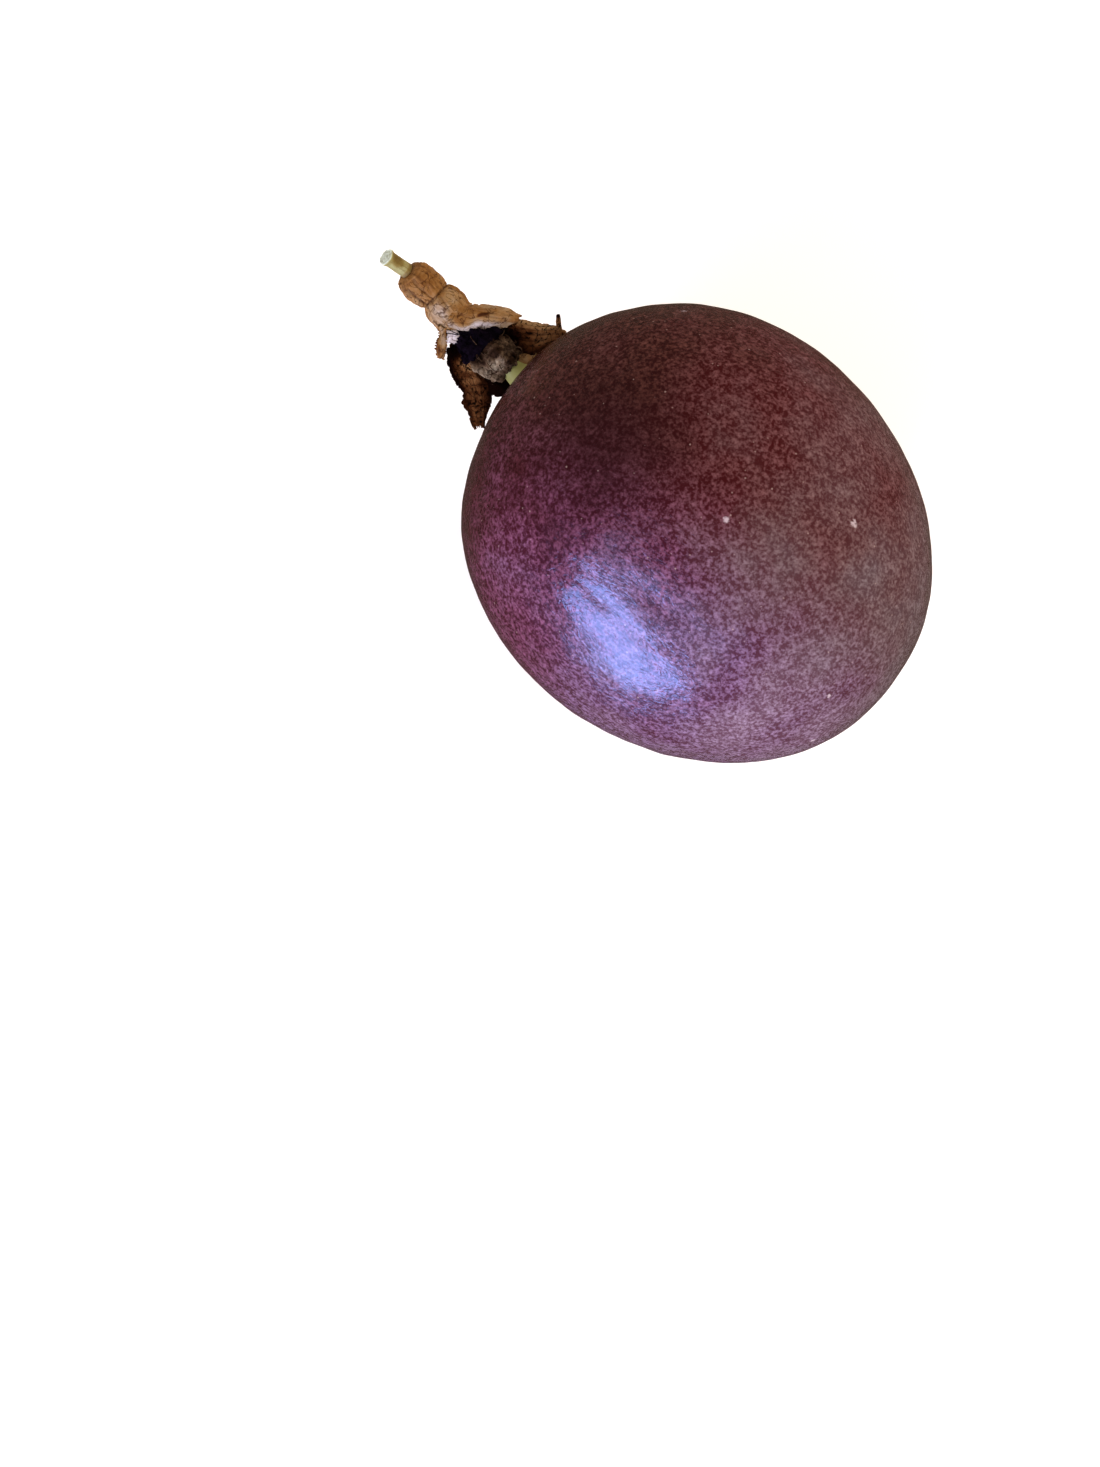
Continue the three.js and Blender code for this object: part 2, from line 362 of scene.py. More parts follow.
skinLook = {
    "halfLength": 34.0,      # millimetres, for the change of colour along the fruit
    "driftSize": 1 / 0.09, "driftReach": 14.0,   # the slow drift of the colours
    "purpleEdge": (6.0, -13.0),          # between these the reddish brown turns purple, across the fruit
    "patchSize": 1.3, "patchRoughness": 0.78, "patchWeight": 2.3,     # dark maroon patches
    # the fine pale stipple, drawn a little coarser than life so that it shows
    "grainSize": 0.45, "grainRange": (0.34, 0.72), "spotLoss": 0.15,
    "dotSpacing": 1.15, "dotRadius": 0.16, "dotRange": (0.3, 1.0), "dotAmount": 0.42,
    "dotColour": "#c0a29c",
    # the fine leathery creases, also drawn a little coarser than life
    "wrinkleSize": 0.46, "creaseWidth": 0.07, "dullness": (0.28, 0.12), "stretch": (0.5, 1.0, 1.0),
    "sagSize": 3.6, "sagWeight": 3.4,    # the shallow hollows that break the gleam into streaks
    "patchRelief": 0.3, "relief": 0.07,  # what share the patches have in the relief, and its millimetres
    "brown": [(0.12, "#300508"), (0.42, "#3e0409"), (0.68, "#4c272c"), (0.95, "#543e44")],
    "brownSpots": [(0.12, "#6a3c36"), (0.42, "#76484c"), (0.68, "#7c6062"), (0.95, "#7e6e74")],
    # the purple side faces the window: its colour is partly the skin's own purple and partly painted sheen,
    # and its pale lavender specks are partly painted gleam of the bluish light
    "purple": [(0.1, "#320006"), (0.35, "#3e0216"), (0.65, "#481e30"), (0.95, "#5e3e4e")],
    "purpleSpotsAndSheen": [(0.1, "#5e2634"), (0.35, "#884e6e"), (0.65, "#8c6a90"), (0.95, "#9a829a")],
    # painted shade that darkens the skin round one place on top, towards the stalk: its middle, its reach
    # and its core
    "paintedShadePlace": (-15.5, 0.0, 24.5), "paintedShadeReach": (16.0, 2.0),
    "paintedShadeAmount": 0.62, "paintedShadeColour": "#250208",
    # pale flecks: x, y, z, radius; their edges are ragged and soft
    "flecks": [
        (2.1, 1.4, 28.4, 0.45), (14.5, 11.8, 22.9, 0.5), (-19.2, 20.0, 11.1, 0.4),
        (28.9, -11.5, 8.2, 0.35), (26.3, -6.2, 16.5, 0.4),
    ],
    "fleckRagged": -0.45, "fleckShrink": 0.2, "fleckCore": 0.4, "fleckAmount": 0.75,
    "fleckColour": "#cdbcc4",
}


def purpleAndLength(tree, place, look):  # how purple the skin is, and how far along the fruit a point lies
    drift = noise(tree, place, look["driftSize"], 3.0)
    sides = addNode(tree, "SeparateXYZ", {"Vector": place}).outputs
    along = mapped(tree, sides["X"], -look["halfLength"], look["halfLength"], 0.0, 1.0)
    along = maths(tree, "SUBTRACT", maths(tree, "ADD", along, drift), 0.5)
    aside = maths(tree, "MULTIPLY_ADD", drift, look["driftReach"], -look["driftReach"] / 2)
    aside = maths(tree, "ADD", sides["Y"], aside)
    return mapped(tree, aside, *look["purpleEdge"], 0.0, 1.0, "SMOOTHSTEP"), along


def addDots(tree, place, skin, look):  # round pale dots of all sizes, one to a cell
    cells = addNode(tree, "TexVoronoi", {"Vector": place, "Scale": 1 / look["dotSpacing"]}).outputs
    dotSize = mapped(tree, cells["Color"], *look["dotRange"], 0.0, look["dotRadius"] / look["dotSpacing"])
    dots = maths(tree, "LESS_THAN", cells["Distance"], dotSize)
    dots = maths(tree, "MULTIPLY", dots, look["dotAmount"])
    return mixColour(tree, dots, skin, linear(look["dotColour"]))


def addFlecks(tree, place, grains, skin, look):
    for x, y, z, radius in look["flecks"]:
        reach = addNode(tree, "VectorMath", {0: place, 1: (x, y, z)}, operation="DISTANCE").outputs["Value"]
        ragged = maths(tree, "MULTIPLY_ADD", grains, look["fleckRagged"], reach)
        rim, core = radius - look["fleckShrink"], radius * look["fleckCore"] - look["fleckShrink"]
        fleck = mapped(tree, ragged, rim, core, 0.0, look["fleckAmount"])
        skin = mixColour(tree, fleck, skin, linear(look["fleckColour"]))
    return skin


def roughenSkin(tree, place, patches, shader, look):
    lengthwise = addNode(tree, "VectorMath", {0: place, 1: look["stretch"]}, operation="MULTIPLY")
    lengthwise = lengthwise.outputs["Vector"]
    creases = noise(tree, lengthwise, look["wrinkleSize"], 1.5, 0.5, 1.4)
    sags = noise(tree, lengthwise, look["sagSize"], 1.0)
    fromFold = maths(tree, "ABSOLUTE", maths(tree, "SUBTRACT", creases, 0.5))
    # the wax is dull deep in a crease
    dullness = mapped(tree, fromFold, 0.0, look["creaseWidth"], *look["dullness"])
    tree.links.new(dullness, shader.inputs["Roughness"])
    relief = maths(tree, "MULTIPLY_ADD", patches, look["patchRelief"], creases)
    relief = maths(tree, "MULTIPLY_ADD", sags, look["sagWeight"], relief)
    addRelief(tree, relief, look["relief"], shader)


def skinMaterial(look):
    # rind of a ripe passion fruit: dark skin stippled with pale grains under a thin clear wax, which
    # gives a broad dull sheen with a sharper gleam over it, broken up by fine creases
    material, tree, shader = newMaterial(
        "Waxy purple rind", IOR=1.45, Coat_Weight=0.3, Coat_Roughness=0.5, Coat_IOR=1.4,
    )
    place = placeInMillimetres(tree)
    purpleShare, along = purpleAndLength(tree, place, look)
    patches = noise(tree, place, look["patchSize"], 4.0, look["patchRoughness"])
    grains = noise(tree, place, look["grainSize"], 2.0, 0.6)
    grains = mapped(tree, grains, *look["grainRange"], 0.0, 1.0)
    spots = maths(tree, "MULTIPLY_ADD", patches, look["patchWeight"], -look["patchWeight"] / 2)
    spots = maths(tree, "ADD", spots, grains)
    spots = maths(tree, "SUBTRACT", spots, look["spotLoss"], use_clamp=True)

    def colours(ground, specks):
        low = addNode(tree, "ValToRGB", {"Fac": along}, stops=look[ground]).outputs["Color"]
        high = addNode(tree, "ValToRGB", {"Fac": along}, stops=look[specks]).outputs["Color"]
        return mixColour(tree, spots, low, high)

    # the purple side's colours hold painted sheen as well as the skin's own purple
    skin = mixColour(tree, purpleShare, colours("brown", "brownSpots"), colours("purple", "purpleSpotsAndSheen"))
    # painted shade: the skin is darkened towards the shade colour round one place on top
    away = addNode(tree, "VectorMath", {0: place, 1: look["paintedShadePlace"]}, operation="DISTANCE")
    shade = mapped(tree, away.outputs["Value"], *look["paintedShadeReach"], 0.0, look["paintedShadeAmount"], "SMOOTHSTEP")
    skin = mixColour(tree, shade, skin, linear(look["paintedShadeColour"]))
    skin = addDots(tree, place, skin, look)
    skin = addFlecks(tree, place, grains, skin, look)
    tree.links.new(skin, shader.inputs["Base Color"])
    roughenSkin(tree, place, patches, shader, look)
    return material


fruit = modelFruit(fruitShape)
placePiece(fruit, skinMaterial(skinLook), "fruit")
print("fruit:", len(fruit.data.polygons), "faces")


# The dried flower parts start as flat grids, which are then bent, rolled and torn to shape.
def splineAt(points, shares):  # a smooth curve through the points, read at shares from 0 to 1
    points = np.array(points, float)
    ends = np.vstack([2 * points[0] - points[1], points, 2 * points[-1] - points[-2]])
    spot = np.clip(shares, 0, 1) * (len(points) - 1)
    first = np.minimum(spot.astype(int), len(points) - 2)
    t = (spot - first)[:, None]
    a, b, c, d = (ends[first + i] for i in range(4))
    bend = (2 * a - 5 * b + 4 * c - d) * t ** 2 + (3 * b - a - 3 * c + d) * t ** 3
    return 0.5 * (2 * b + (c - a) * t + bend)


def shareByLength(points, shares):  # turns a share of the length into a share of the points
    steps = np.linalg.norm(np.diff(np.array(points, float), axis=0), axis=1)
    travelled = np.concatenate([[0], np.cumsum(steps)]) / steps.sum()
    return np.interp(shares, travelled, np.linspace(0, 1, len(points)))


def addGrid(name, columns, rows):
    deselectAll()
    bpy.ops.mesh.primitive_grid_add(x_subdivisions=columns, y_subdivisions=rows, size=1, location=(0, 0, 0))
    piece = bpy.context.object
    piece.name = name
    places = readPlaces(piece)
    return piece, places[:, 0] + 0.5, places[:, 1] + 0.5


def setNumber(piece, name, values):  # a number at each point, for the material to read
    layer = piece.data.attributes.get(name) or piece.data.attributes.new(name, "FLOAT", "POINT")
    layer.data.foreach_set("value", np.asarray(values, np.float32))


def patchAmount(patches, across, along):  # each: across, along, reach across, reach along, amount
    amount = np.zeros(len(across))
    for middleAcross, middleAlong, reachAcross, reachAlong, strength in patches:
        away = ((across - middleAcross) / reachAcross) ** 2 + ((along - middleAlong) / reachAlong) ** 2
        amount += strength * np.exp(-away ** 2)
    return amount


def grooveDepth(grooves, across, along):
    # each runs from (across, along) to (across, along), and has a width across and a depth
    depth = np.zeros(len(across))
    for fromAcross, fromAlong, toAcross, toAlong, width, deep in grooves:
        run = (along - fromAlong) / (toAlong - fromAlong)
        middle = fromAcross + (toAcross - fromAcross) * np.clip(run, 0, 1)
        fade = np.clip(np.minimum(run, 1 - run) * 5 + 0.6, 0, 1)
        depth += deep * fade * np.exp(-((across - middle) / width) ** 2)
    return depth


def layLeaf(name, shape):
    # the lines run the leaf's length side by side, and the grid is stretched over them
    piece, across, along = addGrid(name, *shape["grid"])
    ribs = np.stack([splineAt(line, along) for line in shape["lines"]], axis=1)
    places = np.stack([splineAt(rib, share)[0] for rib, share in zip(ribs, across[:, None])])
    writePlaces(piece, np.array(fruitMiddle) + places * mm)
    depth = grooveDepth(shape.get("grooves", ()), across, along)
    writePlaces(piece, readPlaces(piece) - readNormals(piece) * depth[:, None] * mm)
    setNumber(piece, "pale", patchAmount(shape["patches"], across, along))
    setNumber(piece, "crease", depth)
    return piece


def rollTube(name, shape):
    # profile: radius and share of the route's length; lobes: how many round the tube, turn and height;
    # the seam is on the underside
    piece, across, along = addGrid(name, *shape["grid"])
    route = shape["route"]
    profile = np.array(shape["profile"], float)
    length = np.linalg.norm(np.diff(np.array(route, float), axis=0), axis=1).sum()
    steps = np.hypot(np.diff(profile[:, 0]), np.diff(profile[:, 1]) * length)
    travelled = np.concatenate([[0], np.cumsum(steps)]) / steps.sum()
    radius = np.interp(along, travelled, profile[:, 0])
    share = np.interp(along, travelled, profile[:, 1])
    middle = splineAt(route, shareByLength(route, share))
    before = np.clip(share, 0.01, 0.99)
    forward = splineAt(route, shareByLength(route, before + 0.01))
    forward -= splineAt(route, shareByLength(route, before - 0.01))
    forward /= np.linalg.norm(forward, axis=1)[:, None]
    side = np.cross(forward, (0, 0, 1))
    side /= np.linalg.norm(side, axis=1)[:, None]
    up = np.cross(side, forward)
    angle = (across - 0.5) * 2 * math.pi
    depth = grooveDepth(shape.get("grooves", ()), across, share)
    for ringShare, lean, width, deep in shape.get("rings", ()):  # creases that run round the tube
        depth += deep * np.exp(-((share - ringShare - lean * (0.5 - across)) / width) ** 2)
    swell = sum(height * np.cos(count * angle + turn) for count, turn, height in shape["lobes"])
    radius = radius - (depth - swell) * np.clip(radius, 0, 1)
    places = middle + (side * np.sin(angle)[:, None] + up * np.cos(angle)[:, None]) * radius[:, None]
    writePlaces(piece, np.array(fruitMiddle) + places * mm)
    setNumber(piece, "pale", patchAmount(shape.get("patches", ()), across, share))
    setNumber(piece, "crease", depth)
    makeActive(piece)
    bpy.ops.object.mode_set(mode="EDIT")
    bpy.ops.mesh.select_all(action="SELECT")
    bpy.ops.mesh.remove_doubles(threshold=0.01 * mm)
    bpy.ops.mesh.normals_make_consistent(inside=False)
    bpy.ops.object.mode_set(mode="OBJECT")
    return piece


crumpleSteps = (7.3, 3.1, 5.7)  # millimetres from one seed's part of the clouds to the next seed's


def crumple(piece, seed, size, height):
    offset = Vector([seed * step for step in crumpleSteps]) * mm
    displaceBy(piece, cloudTexture(piece.name + "Crumple", 2), height, (size * mm,) * 3, offset)


def tearEdge(piece, seed, share):  # nibbles faces away from the open edges, twice over
    random.seed(seed)
    for _ in range(2):
        mesh = piece.data
        uses = np.zeros(len(mesh.edges), int)
        keyToEdge = {edge.key: edge.index for edge in mesh.edges}
        for face in mesh.polygons:
            for key in face.edge_keys:
                uses[keyToEdge[key]] += 1
        makeActive(piece)
        bpy.ops.object.mode_set(mode="EDIT")
        bpy.ops.mesh.select_all(action="DESELECT")
        bpy.ops.mesh.select_mode(type="FACE")
        bpy.ops.object.mode_set(mode="OBJECT")
        for face in mesh.polygons:
            isEdge = any(uses[keyToEdge[key]] == 1 for key in face.edge_keys)
            face.select = isEdge and random.random() < share
        bpy.ops.object.mode_set(mode="EDIT")
        bpy.ops.mesh.delete(type="FACE")
        bpy.ops.object.mode_set(mode="OBJECT")


def thicken(piece, thickness, offset):
    addModifier(piece, "SOLIDIFY", thickness=thickness * mm, offset=offset)
    addModifier(piece, "SUBSURF", levels=1, render_levels=1)


# the materials use this number to paint shade in the hollows
def markHollows(piece, depth=0.06):  # a number at each point: how far it lies in a hollow
    makeActive(piece)
    bpy.ops.object.duplicate()
    smooth = bpy.context.object
    addModifier(smooth, "SMOOTH", factor=0.5, iterations=10)
    lift = readPlaces(smooth) - readPlaces(piece)
    below = (lift * readNormals(piece)).sum(axis=1) / (depth * mm)
    bpy.data.objects.remove(smooth)
    setNumber(piece, "hollow", np.clip(below, -1, 1))
    smoothFaces(piece)


def joinPieces(first, second):
    makeActive(first)
    second.select_set(True)
    bpy.ops.object.join()


def addFibres(name, seed, count, ring, reach, thickness, curl):
    # thin curly filaments that start on a ring: middle, radius, length along x, and spread outwards
    random.seed(seed)
    middle, radius, run = ring
    farthest = radius * 1.12
    steps = 6
    curve = bpy.data.curves.new(name, "CURVE")
    curve.dimensions = "3D"
    curve.bevel_depth = thickness * mm
    curve.bevel_resolution = 0
    curve.use_fill_caps = True
    for _ in range(count):
        angle = random.uniform(-math.pi, math.pi)
        away = Vector((0, math.sin(angle), math.cos(angle)))
        place = Vector(middle) + away * radius * random.uniform(0.75, 1.05)
        place += Vector((random.uniform(0, run), 0, 0))
        heading = Vector((random.uniform(-0.6, 0.6), 0, 0)) + away * random.uniform(0.0, 0.5)
        heading += Vector(random.uniform(-1, 1) for _ in range(3)) * 0.5
        strand = curve.splines.new("NURBS")
        strand.points.add(steps)
        for i, spot in enumerate(strand.points):
            spot.co = (*at(*place), 1)
            spot.radius = 1 - 0.08 * i
            heading += Vector(random.uniform(-1, 1) for _ in range(3)) * curl
            place += heading.normalized() * reach / steps
            outward = Vector((0, place.y - middle[1], place.z - middle[2]))
            if outward.length > farthest:  # it stays near the tuft
                place -= outward.normalized() * (outward.length - farthest)
        strand.use_endpoint_u = True
        strand.order_u = 4
        strand.resolution_u = 2
    piece = bpy.data.objects.new(name, curve)
    bpy.context.scene.collection.objects.link(piece)
    makeActive(piece)
    bpy.ops.object.convert(target="MESH")
    piece = bpy.context.object
    setNumber(piece, "pale", [random.uniform(-0.6, 0.9)] * len(piece.data.vertices))
    return piece


def readNumber(tree, name):
    return addNode(tree, "Attribute", attribute_name=name).outputs["Fac"]


veinSoftness = 0.16  # how far a vein fades out sideways, as a share of the noise's range


def driedMaterial(name, look):
    # pale says how light a place is: mostly bleaching, and in a few dark patches painted shade; -1 is the
    # darkest stop and 2 the palest
    material, tree, shader = newMaterial(
        name, Roughness=look["roughness"], Specular_IOR_Level=look["gloss"],
    )
    place = placeInMillimetres(tree)
    blotches = noise(tree, place, look["blotchSize"], 4.0, 0.6)
    tone = maths(tree, "MULTIPLY_ADD", blotches, look["blotchAmount"], readNumber(tree, "pale"))
    half = look["blotchAmount"] / 2
    tone = mapped(tree, tone, half - 1, half + 2, 0.0, 1.0)
    colour = addNode(tree, "ValToRGB", {"Fac": tone}, stops=look["stops"]).outputs["Color"]

    pattern = addNode(tree, "TexCoord").outputs["UV"]
    wander = addNode(tree, "TexNoise", {"Vector": place, "Scale": 0.7, "Detail": 2.0}).outputs["Color"]
    wander = addNode(tree, "VectorMath", {0: wander, 1: (look["wander"],) * 3}, operation="MULTIPLY")
    lines = addNode(tree, "Mapping", {"Vector": pattern, "Scale": (look["fibres"], look["fibreBreaks"], 1)})
    lines = addNode(tree, "VectorMath", {
        0: lines.outputs["Vector"], 1: wander.outputs["Vector"],
    }, operation="ADD").outputs["Vector"]
    fibres = noise(tree, lines, 1.0, 2.0, 0.55)
    veins = mapped(tree, fibres, look["veinEdge"], look["veinEdge"] + veinSoftness, 0.0, look["veinAmount"])
    colour = mixColour(tree, veins, colour, linear(look["vein"]))
    # painted shade: places deep in a hollow or a crease are darkened towards the hollow colour
    hollow = mapped(tree, readNumber(tree, "hollow"), 0.1, 0.9, 0.0, look["hollowShadeAmount"])
    crease = mapped(tree, readNumber(tree, "crease"), 0.05, 0.3, 0.0, look["hollowShadeAmount"])
    colour = mixColour(tree, maths(tree, "MAXIMUM", hollow, crease), colour, linear(look["hollow"]))
    wrinkles = noise(tree, place, look["wrinkleSize"], 3.0, 0.5, 0.6)
    # thin dark crinkle lines run where a second, wider noise passes its middle value
    crinkles = noise(tree, place, look["crinkleSize"], 2.0, 0.5, 0.8)
    crinkles = maths(tree, "ABSOLUTE", maths(tree, "SUBTRACT", crinkles, 0.5))
    width = look["crinkleWidth"]
    crinkles = mapped(tree, crinkles, width, width / 4, 0.0, look["crinkleAmount"])
    colour = mixColour(tree, crinkles, colour, linear(look["hollow"]))
    tree.links.new(colour, shader.inputs["Base Color"])
    relief = maths(tree, "MULTIPLY_ADD", fibres, look["fibreRelief"], wrinkles)
    addRelief(tree, relief, look["relief"], shader)
    return material


cupShape = {
    "route": [
        (-51.2, 2.2, -1.2), (-49.2, 2.1, -2.2), (-46.6, 2.1, -2.7), (-44.3, 1.95, -3.0), (-41.3, 1.5, -3.2),
    ],
    "profile": [
        (0, 0.0), (1.3, 0.0), (2.15, 0.03), (2.45, 0.08), (2.68, 0.2), (2.66, 0.3), (2.5, 0.4),
        (2.3, 0.455),
        (2.24, 0.48), (2.42, 0.515), (2.74, 0.6), (2.88, 0.7), (2.82, 0.85), (2.66, 1.0),
    ],
    "lobes": [(5, 0.5, 0.06), (3, 1.1, 0.05), (9, 0.2, 0.03)],
    "rings": [(0.478, 0.05, 0.012, 0.3), (0.05, 0.0, 0.015, 0.12)],
    # across, along to across, along; width, depth: two pale ribs at the side, then the tube's folds
    "grooves": [
        (0.545, 0.06, 0.55, 0.47, 0.012, 0.2), (0.635, 0.1, 0.64, 0.47, 0.012, 0.3),
        (0.75, 0.05, 0.74, 0.46, 0.02, 0.25), (0.47, 0.16, 0.51, 0.40, 0.01, 0.16),
        (0.50, 0.12, 0.45, 0.30, 0.01, 0.14), (0.40, 0.2, 0.43, 0.46, 0.012, 0.14),
        (0.33, 0.08, 0.34, 0.44, 0.018, 0.16),
        (0.485, 0.5, 0.515, 0.78, 0.011, 0.22), (0.60, 0.5, 0.59, 0.9, 0.01, 0.1),
        (0.56, 0.5, 0.56, 0.85, 0.01, 0.07),
        (0.66, 0.5, 0.65, 0.95, 0.012, 0.12), (0.38, 0.56, 0.42, 0.98, 0.012, 0.14),
        (0.30, 0.54, 0.34, 0.98, 0.012, 0.16),
        (0.22, 0.05, 0.2, 0.46, 0.02, 0.22), (0.10, 0.05, 0.12, 0.95, 0.02, 0.22),
        (0.9, 0.05, 0.88, 0.95, 0.02, 0.22),
        (0.2, 0.52, 0.25, 0.98, 0.016, 0.16),
    ],
    "patches": [
        (0.64, 0.3, 0.1, 0.22, 0.3), (0.61, 0.7, 0.11, 0.22, 0.85), (0.42, 0.7, 0.1, 0.3, 0.25),
        (0.40, 0.64, 0.07, 0.12, 0.3),
        (0.45, 0.2, 0.12, 0.18, -0.15), (0.5, 0.99, 0.3, 0.03, 1.0), (0.47, 0.9, 0.12, 0.05, -0.25),
    ],
    "grid": (96, 72), "seed": 4, "tear": 0.35, "wall": 0.4, "crumples": [(3, 1.5, 0.42), (5, 0.6, 0.12)],
}

liningShape = {  # the spongy white lining that shows where the cup's rim is torn
    "lines": [
        [(-42.4, -0.5, -1.1), (-41.9, -1.0, -1.7), (-41.3, -1.8, -2.5)],
        [(-41.7, 0.1, -0.9), (-41.2, -0.5, -1.4), (-40.9, -1.3, -2.2)],
        [(-40.8, 0.5, -1.2), (-40.4, -0.2, -1.7), (-40.3, -0.9, -2.4)],
    ],
    "patches": [(0.5, 0.5, 2, 2, 1.7)],
    "grid": (14, 18), "seed": 6, "tear": 0.4, "thickness": 0.3, "crumples": [(8, 0.5, 0.45)],
}

# Sun-bleached flower tube, dry as paper: it gives a matt pale straw with brown veins, and folds darkened
# with painted shade.
paperyStraw = {
    "roughness": 0.75, "gloss": 0.05, "blotchSize": 1.1, "blotchAmount": 1.6, "wander": 1.2,
    "stops": [
        (0, "#482812"), (0.18, "#6e451f"), (0.33, "#8c6134"), (0.5, "#9a7952"), (0.66, "#a48e78"),
        (0.83, "#bcaea6"), (1, "#dcd2d4"),
    ],
    "fibres": 46, "fibreBreaks": 5, "vein": "#5a391c", "veinEdge": 0.54, "veinAmount": 0.68,
    "hollow": "#3c200c", "hollowShadeAmount": 0.8, "crinkleSize": 1.5, "crinkleAmount": 0.75,
    "crinkleWidth": 0.034, "wrinkleSize": 0.5, "fibreRelief": 1.0, "relief": 0.14,
}


def crumpleAll(piece, crumples):  # each: seed, size, height
    for seed, size, height in crumples:
        crumple(piece, seed, size, height)


def modelCup(shape, lining):
    cup = rollTube("flowerCup", shape)
    tearEdge(cup, shape["seed"], shape["tear"])
    thicken(cup, shape["wall"], -1)
    crumpleAll(cup, shape["crumples"])
    padding = layLeaf("cupLining", lining)
    tearEdge(padding, lining["seed"], lining["tear"])
    thicken(padding, lining["thickness"], 0)
    crumpleAll(padding, lining["crumples"])
    joinPieces(cup, padding)
    markHollows(cup)
    return cup


